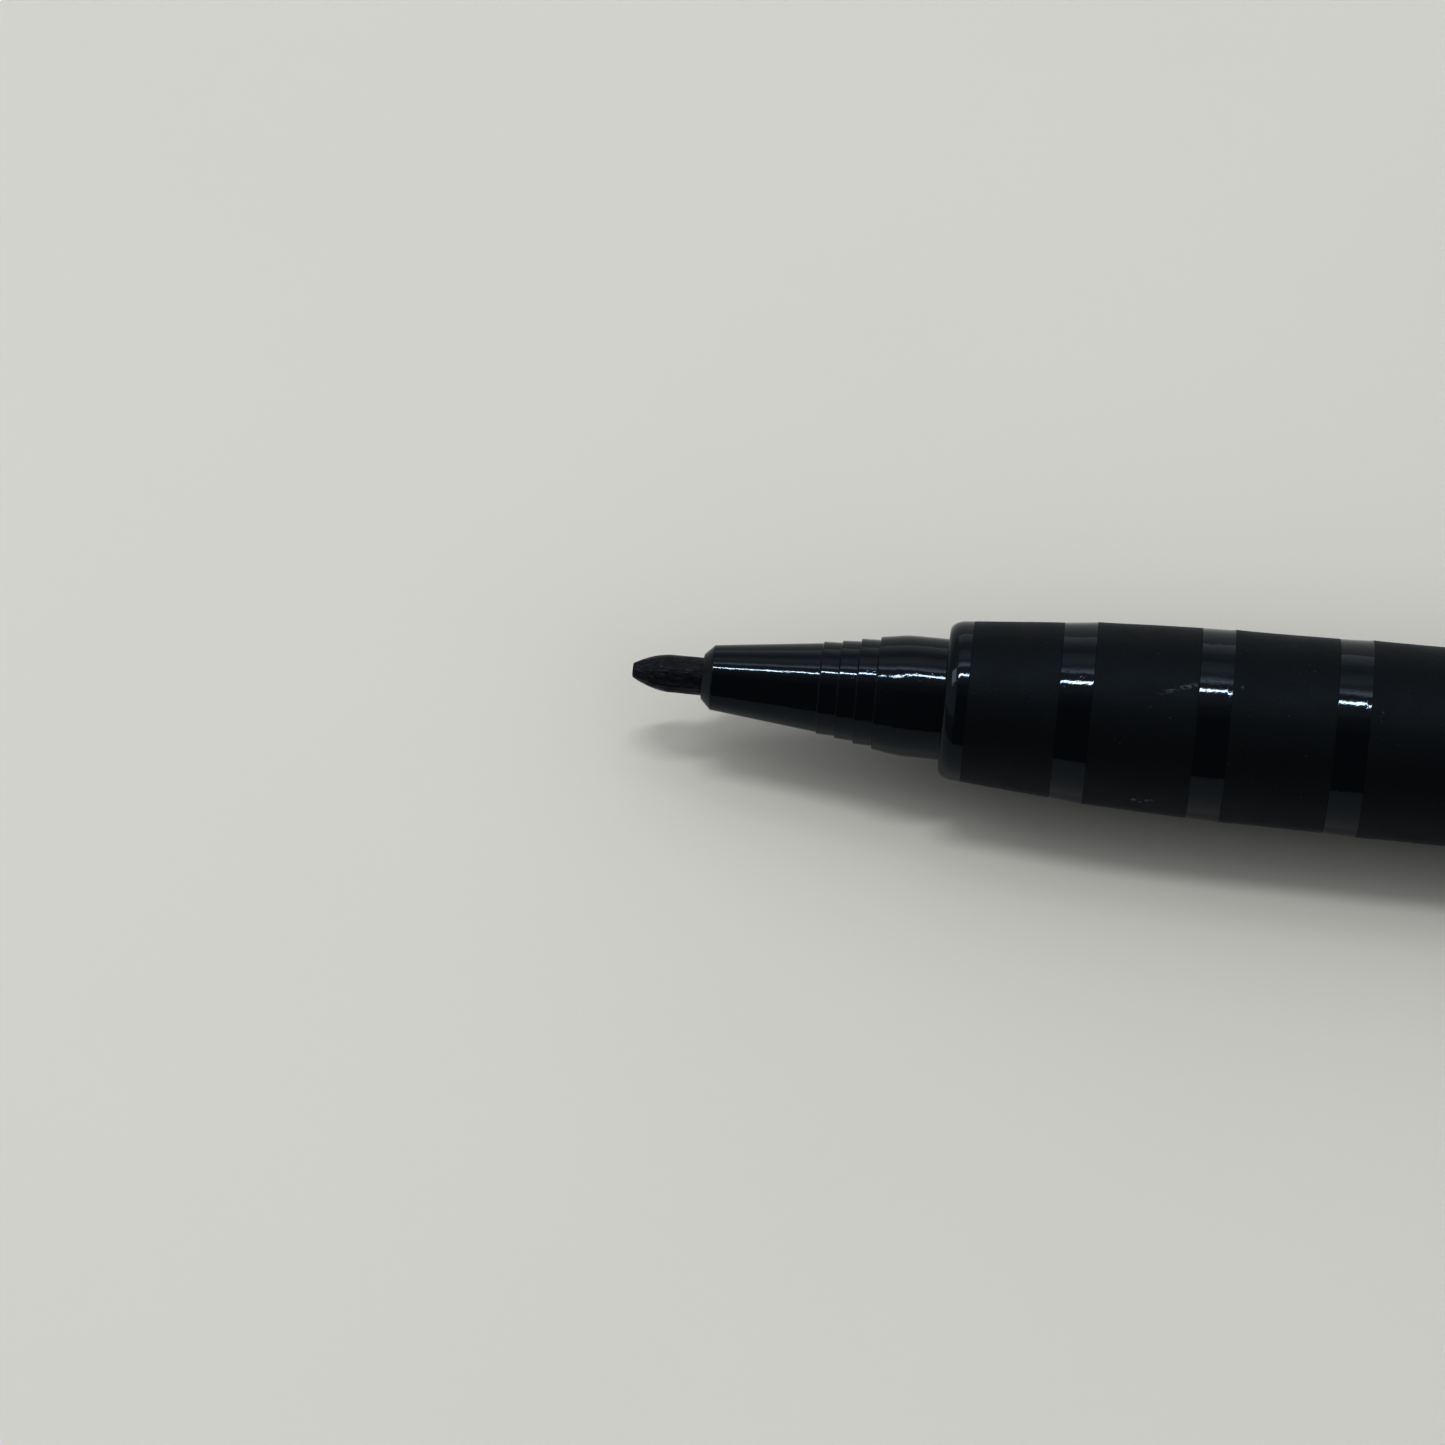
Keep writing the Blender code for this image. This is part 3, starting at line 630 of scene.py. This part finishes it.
def nib_outline(tip, end):
    """The nib's mean outline: a blunt worn bullet on a straight rod."""
    bullet, full, flat, power = 2.35 * MM, 1.15 * MM, 0.44 * MM, 1.85
    points = [Vector((tip, 0))]
    points += [Vector((tip, flat * share)) for share in (0.25, 0.5, 0.7, 0.82)]
    flat_depth, steps = 0.03 * MM, 34
    for i in range(steps + 1):
        along = bullet * i / steps
        share = ((bullet - along) / bullet) ** power
        points.append(Vector((tip + along + flat_depth, full - (full - flat) * share)))
    rod_end, rod_steps = -14.0 * MM, 40
    start = points[-1].x
    points += [Vector((start + (rod_end - start) * i / rod_steps, full)) for i in range(1, rod_steps + 1)]
    bevel = 0.3 * MM
    points += [Vector((end - bevel, full)), Vector((end, full - bevel)), Vector((end, 0))]
    return points


def nib_shape(tip):
    """Moves the nib's points: fibre ridges, a slanted worn tip and a small step worn on the upper side."""
    rng = np.random.default_rng(SEED)
    ridge_count = 26
    phase = rng.uniform(0, math.tau, ridge_count)
    turns = rng.integers(9, 40, ridge_count)
    drift = rng.uniform(-0.5, 0.5, ridge_count)
    size = rng.uniform(0.3, 1.0, ridge_count)
    size = size / size.sum()

    def shape(x, r, angle):
        behind = x - tip
        ridges = float(np.sum(size * np.sin(turns * angle + phase + drift * behind / MM)))
        fade = min(1.0, r / (0.5 * MM))
        upper = math.cos(angle - math.radians(25))
        near_tip = math.exp(-((behind / (0.45 * MM)) ** 2))
        step = math.exp(-(((behind - 0.72 * MM) / (0.16 * MM)) ** 2)) * max(0.0, upper) ** 2
        moved = r + 0.045 * MM * ridges * fade - 0.05 * MM * step * fade
        slant = 0.10 * MM * (r / (0.4 * MM)) * -upper * near_tip
        return x + max(slant, 0.0), moved * (1 + 0.1 * near_tip * upper)

    return shape


def make_pen(gloss, rubber, felt, place, tip_x):
    """The barrel with its soft rings, the nose and the nib."""
    turn = ROUND_SEGMENTS
    finish_mesh(
        "barrel_body", *lathe(barrel_outline(), turn), place, gloss, "pen", ["barrel"], "gloss_black_plastic"
    )
    for index in range(len(GRIP_SPANS)):
        verts, faces = lathe(ring_outline(index), turn)
        name, node = f"soft_ring_{index + 1}", f"grip_ring_{index + 1}"
        finish_mesh(name, verts, faces, place, rubber, "pen", [node], "soft_black_rubber")
    finish_mesh(
        "nose_cone", *lathe(nose_outline(), turn), place, gloss, "pen", ["nib_holder"], "gloss_black_plastic"
    )
    verts, faces = lathe(nib_outline(tip_x, 14 * MM), NIB_SEGMENTS, closed=False, shape=nib_shape(tip_x))
    finish_mesh("felt_nib", verts, faces, place, felt, "pen", ["nib"], "inked_felt", sharp=60)


def plug_outline():
    """The tail plug: a press-fit tube, a flange, and the hollow spigot that the cap is posted on."""
    front, flange_start = 83.0 * MM, 91.05 * MM
    collar_end, tip = SHOULDER + 2.45 * MM, SHOULDER + 7.15 * MM
    tip_wall = tip - 1.0 * MM
    flange, press, inside, spigot = body_radius(BARREL_LENGTH), 4.24 * MM, 3.3 * MM, 3.7 * MM
    return rounded([
        (front, inside),
        (front, press, 0.3 * MM),
        (flange_start, press),
        (flange_start, flange, 0.05 * MM),
        (SHOULDER, flange, 0.2 * MM),
        (SHOULDER, spigot, 0.1 * MM),
        (collar_end, spigot, 0.15 * MM),
        (collar_end + 0.35 * MM, 3.35 * MM, 0.3 * MM),
        (tip - 0.25 * MM, 2.85 * MM, 0.4 * MM),
        (tip, 2.5 * MM, 0.1 * MM),
        (tip, 0.0),
        (tip_wall, 0.0),
        (tip_wall, 1.85 * MM),
        (collar_end, 2.35 * MM),
        (SHOULDER, 2.7 * MM),
        (flange_start, inside),
    ])


def cap_radius(x):
    """The cap's outer radius at x from its mouth."""
    swell = 0.25 * MM * (1 - math.exp(-x / (3.0 * MM)))
    return 5.0 * MM + swell - 0.95 * MM * (x / CAP_LENGTH) ** 2.2


def cap_outline():
    """The cap: bore, chamber for the liner, and a recess for the disc in its domed end."""
    dome, stations = 0.9 * MM, 48
    recess, recess_radius, disc_hole = CAP_LENGTH - 1.2 * MM, 2.6 * MM, 2.0 * MM
    bore_start, bore_end, bore = 0.35 * MM, 22.4 * MM, 3.82 * MM
    chamber_end, chamber = 35.2 * MM, 3.3 * MM
    corners = [(0, 4.05 * MM, 0.08 * MM), (0, 5.0 * MM, 0.24 * MM)]
    for i in range(1, stations):
        x = (CAP_LENGTH - dome) * i / stations
        corners.append((x, cap_radius(x)))
    corners += [
        (CAP_LENGTH, cap_radius(CAP_LENGTH - dome), dome),
        (CAP_LENGTH, recess_radius, 0.08 * MM),
        (recess, recess_radius),
        (recess, disc_hole),
        (chamber_end, disc_hole),
        (chamber_end, chamber),
        (bore_end, chamber),
        (bore_end, bore),
        (bore_start, bore, 0.1 * MM),
    ]
    return rounded(corners)


def disc_outline():
    """The vented disc in the cap's end, with a moulding dimple in its middle."""
    face, neck_start, snap, back = CAP_LENGTH - 0.15 * MM, 36.85 * MM, 35.15 * MM, 34.45 * MM
    dimple, rim, neck = face - 0.1 * MM, 2.53 * MM, 1.93 * MM
    return rounded([
        (dimple, 0.0),
        (dimple, 0.35 * MM, 0.1 * MM),
        (face, 0.5 * MM, 0.08 * MM),
        (face, rim, 0.12 * MM),
        (neck_start, rim),
        (neck_start, neck),
        (snap, neck),
        (snap, 2.2 * MM),
        (back, 1.73 * MM),
        (back, 0.0),
    ], closed=False)


def rounded_section(half, low, high, radius):
    """A rectangle's outline with round corners, as (y, z) points."""
    steps = 5
    points = []
    for corner, (y, z) in enumerate(((half, high), (-half, high), (-half, low), (half, low))):
        centre_y = y - math.copysign(radius, y)
        centre_z = z - radius if z == high else z + radius
        for i in range(steps + 1):
            angle = math.pi / 2 * (corner + i / steps)
            points.append((centre_y + radius * math.cos(angle), centre_z + radius * math.sin(angle)))
    return points


def fall(share):
    """How far a quarter circle has fallen at a share of its length, as a share of its radius."""
    return 1 - math.sqrt(max(0.0, 1 - share ** 2))


def evenly(start, end, steps):
    """The places that divide a stretch, its end included and its start not."""
    return [start + (end - start) * i / steps for i in range(1, steps + 1)]


def clip_sections():
    """The clip from its tip to the back of its root: arm, bead under the tip, and root block."""
    tip_round, edge, thinnest_share, widest_share = 0.9 * MM, 0.26 * MM, 0.45, 0.9
    bead_start, bead_end, bead_drop, bead_power = 3.2 * MM, 6.6 * MM, 0.96 * MM, 0.8
    web, back_round = 1.0 * MM, 0.5 * MM
    arm_end, back_start = CLIP_ROOT_START - web, CLIP_ROOT_END - back_round
    block_start = CLIP_ROOT_START + 0.25 * MM
    stations = [CLIP_TIP + tip_round * (1 - math.cos(math.pi / 2 * i / 8)) for i in range(9)]
    stations += [bead_start, *evenly(bead_start, bead_end, 24), *evenly(bead_end, arm_end, 30)]
    stations += [arm_end + web * math.sin(math.pi / 2 * i / 10) for i in range(1, 10)]
    stations += [CLIP_ROOT_START, CLIP_ROOT_START + 0.03 * MM, block_start]
    stations += evenly(block_start, back_start, 8)
    stations += [back_start + back_round * math.sin(math.pi / 2 * i / 7) for i in range(1, 8)]
    sections = []
    for x in sorted(stations):
        share = max(0.0, (CLIP_ROOT_START - x) / (CLIP_ROOT_START - CLIP_TIP))
        half = (CLIP_WIDTH * (1 - share) + CLIP_TIP_WIDTH * share) / 2
        low, high = CLIP_UNDERSIDE, CLIP_TOP
        tip_fall = fall(max(0.0, 1 - (x - CLIP_TIP) / tip_round))
        high -= 0.75 * MM * tip_fall
        half -= 0.55 * MM * tip_fall
        if bead_start < x < bead_end:
            along_bead = (x - bead_start) / (bead_end - bead_start)
            low -= bead_drop * math.sin(math.pi * along_bead) ** bead_power
        if x > arm_end:
            low -= web * fall(min(1.0, (x - arm_end) / web))
        if x > CLIP_ROOT_START + 0.01 * MM:
            low = CLIP_FOOT
        back_fall = fall(max(0.0, (x - back_start) / back_round))
        high -= 0.4 * MM * back_fall
        half -= 0.2 * MM * back_fall
        radius = min(edge, thinnest_share * (high - low), widest_share * half)
        sections.append((x, rounded_section(half, low, high, radius)))
    return sections


def make_tail(gloss, pen_place, cap_place):
    """The tail plug with its crossed fins, the cap, its vented disc, and the clip."""
    turn, slot_name = ROUND_SEGMENTS, "gloss_black_plastic"
    fin_start, fin_end, fin, thick = 74.5 * MM, 86.0 * MM, 3.5 * MM, 0.45 * MM
    fins = [
        box((fin_start, -fin, -thick), (fin_end, fin, thick)),
        box((fin_start, -thick, -fin), (fin_end, thick, fin)),
    ]
    finish_mesh(
        "tail_plug", *lathe(plug_outline(), turn), pen_place, gloss, "pen", ["end_plug"], slot_name, join=fins
    )
    slot_start, slot_end, slot_half = CLIP_ROOT_START - 0.9 * MM, CLIP_ROOT_END + 0.1 * MM, 1.4 * MM
    clip_slot = box((slot_start, -slot_half, 2.3 * MM), (slot_end, slot_half, CLIP_TOP))
    finish_mesh(
        "cap_outer", *lathe(cap_outline(), turn), cap_place, gloss, "cap", ["cap_shell"], slot_name,
        cut=[clip_slot],
    )
    vent_count, vent_circle, vent_radius = 3, 1.1 * MM, 0.4 * MM
    vents = []
    for i in range(vent_count):
        angle = math.tau * i / vent_count
        y, z = vent_circle * math.sin(angle), vent_circle * math.cos(angle)
        vents.append(rod(33 * MM, 39 * MM, y, z, vent_radius))
    finish_mesh(
        "cap_disc", *lathe(disc_outline(), turn, closed=False), cap_place, gloss, "cap", ["cap_end_disc"],
        slot_name, cut=vents,
    )
    clip = finish_mesh(
        "pocket_clip", *loft(clip_sections()), cap_place, gloss, None, ["clip_root", "clip_arm"], slot_name,
        sharp=50,
    )
    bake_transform(clip)


def aim(obj, location, target):
    """Puts an object at a place, looking at another."""
    obj.location = location
    obj.rotation_mode = "QUATERNION"
    obj.rotation_quaternion = (Vector(target) - Vector(location)).to_track_quat("-Z", "Y")


def make_camera(tip, axis_y, axis_z):
    """A camera that looks steeply down on the nib and the front of the grip."""
    target = Vector((tip + AIM_PAST_TIP, axis_y - AIM_BEFORE_AXIS, axis_z))
    level = math.cos(CAMERA_ELEVATION)
    back = Vector(
        (math.sin(CAMERA_AZIMUTH) * level, -math.cos(CAMERA_AZIMUTH) * level, math.sin(CAMERA_ELEVATION))
    )
    data = bpy.data.cameras.new("camera")
    data.lens = CAMERA_LENS
    data.clip_start, data.clip_end = 0.01, 100
    camera = bpy.data.objects.new("camera", data)
    bpy.context.scene.collection.objects.link(camera)
    aim(camera, target + back * CAMERA_DISTANCE, target)
    bpy.context.scene.camera = camera


def make_softboxes(target):
    """The two softboxes, seen from the target at the sizes that SOFTBOXES gives."""
    for name, tilt_x, tilt_y, turn, length, width, radiance in SOFTBOXES:
        back = Vector((math.tan(math.radians(tilt_x)), math.tan(math.radians(tilt_y)), 1)).normalized()
        along = Vector((math.cos(math.radians(turn)), math.sin(math.radians(turn)), 0))
        along = (along - back * along.dot(back)).normalized()
        data = bpy.data.lights.new(name, "AREA")
        data.shape = "RECTANGLE"
        data.size = 2 * LIGHT_DISTANCE * math.tan(math.radians(length / 2))
        data.size_y = 2 * LIGHT_DISTANCE * math.tan(math.radians(width / 2))
        data.energy = radiance * math.pi * data.size * data.size_y
        light = bpy.data.objects.new(name, data)
        bpy.context.scene.collection.objects.link(light)
        turned = Matrix((along, back.cross(along), back)).transposed()
        light.matrix_world = Matrix.LocRotScale(target + back * LIGHT_DISTANCE, turned.to_quaternion(), None)


def ramp_node(tree, value, stops, top):
    """A smooth ramp over an angle in degrees, from -90 to 90, whose levels are shares of top."""
    span = tree.nodes.new("ShaderNodeMapRange")
    span.inputs["From Min"].default_value, span.inputs["From Max"].default_value = -90, 90
    tree.links.new(value, span.inputs["Value"])
    ramp = tree.nodes.new("ShaderNodeValToRGB")
    ramp.color_ramp.interpolation = "EASE"
    elements = ramp.color_ramp.elements
    while len(elements) < len(stops):
        elements.new(0.5)
    for element, (angle, level) in zip(elements, stops):
        element.position = (angle + 90) / 180
        element.color = (level / top, level / top, level / top, 1)
    tree.links.new(span.outputs[0], ramp.inputs["Fac"])
    return ramp.outputs["Color"]


def make_room():
    """A plain room: dim behind the camera, brighter to its left and right, brightest beyond the pen."""
    world = bpy.data.worlds.new("room")
    world.use_nodes = True
    tree = world.node_tree
    background = tree.nodes["Background"]
    coords = tree.nodes.new("ShaderNodeTexCoord")
    split = tree.nodes.new("ShaderNodeSeparateXYZ")
    tree.links.new(coords.outputs["Generated"], split.inputs[0])
    x, y, z = split.outputs
    degrees = math_node(tree, "DEGREES", math_node(tree, "ARCTAN2", y, z))
    aside = math_node(tree, "ABSOLUTE", math_node(tree, "SUBTRACT", x, MIDDLE_AT))
    share = tree.nodes.new("ShaderNodeMapRange")
    share.interpolation_type = "SMOOTHSTEP"
    feed(tree, share.inputs["Value"], aside)
    feed(tree, share.inputs["From Min"], SIDE_FROM)
    feed(tree, share.inputs["From Max"], SIDE_TO)
    top = max(level for _, level in ROOM_MIDDLE)
    mix = tree.nodes.new("ShaderNodeMix")
    mix.data_type = "RGBA"
    feed(tree, mix.inputs[0], share.outputs[0])
    feed(tree, mix.inputs[6], ramp_node(tree, degrees, ROOM_MIDDLE, top))
    feed(tree, mix.inputs[7], ramp_node(tree, degrees, ROOM_SIDES, top))
    tint = tree.nodes.new("ShaderNodeMix")
    tint.data_type, tint.blend_type = "RGBA", "MULTIPLY"
    feed(tree, tint.inputs[0], 1)
    feed(tree, tint.inputs[6], mix.outputs[2])
    feed(tree, tint.inputs[7], (*ROOM_COLOUR, 1))
    feed(tree, background.inputs["Color"], tint.outputs[2])
    feed(tree, background.inputs["Strength"], top)
    bpy.context.scene.world = world


def make_table():
    """The table's plane, 6 m across, which is only the stage."""
    half, cells = 3.0, 8
    side = [half * (2 * i / cells - 1) for i in range(cells + 1)]
    verts = [(x, y, 0) for y in side for x in side]
    row = cells + 1
    faces = [
        (j * row + i, j * row + i + 1, (j + 1) * row + i + 1, (j + 1) * row + i)
        for j in range(cells)
        for i in range(cells)
    ]
    finish_mesh("table", verts, faces, Matrix.Identity(4), table_top(), None, None, None)


def main():
    """Loads the frame, makes its visible pieces, the stage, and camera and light."""
    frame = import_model()
    scene = bpy.context.scene
    scene.view_settings.view_transform = "Standard"
    scene.view_settings.exposure = EXPOSURE
    scene.view_settings.gamma = CONTRAST

    barrel_low, barrel_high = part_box("barrel")
    axis_y = (barrel_low.y + barrel_high.y) / 2
    axis_z = (barrel_low.z + barrel_high.z) / 2
    rim_x = barrel_low.x
    rim = (rim_x, axis_y, axis_z)
    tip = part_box("nib")[0].x

    gloss = gloss_plastic()
    pen_place = Matrix.Translation(rim)
    make_pen(gloss, soft_rubber(rim), inked_felt(tip), pen_place, tip - rim_x)

    cap_place = Matrix.Translation((rim_x + CAP_MOUTH, axis_y, axis_z)) @ Matrix.Rotation(CLIP_LEAN, 4, "X")
    make_tail(gloss, pen_place, cap_place)

    kept_nodes = {
        "cap_inner_seal": inner_material("natural_plastic", SEAL_TONES, roughness=0.4, grain=6),
        "reservoir_fibre": inner_material("inked_fibre", FIBRE_TONES, roughness=0.9, grain=12),
        "reservoir_film": clear_film(),
    }
    for name, material in kept_nodes.items():
        mesh = frame["nodes"][name].data
        mesh.materials.clear()
        mesh.materials.append(material)

    make_table()
    make_camera(tip, axis_y, axis_z)
    make_softboxes(Vector(rim))
    make_room()


main()
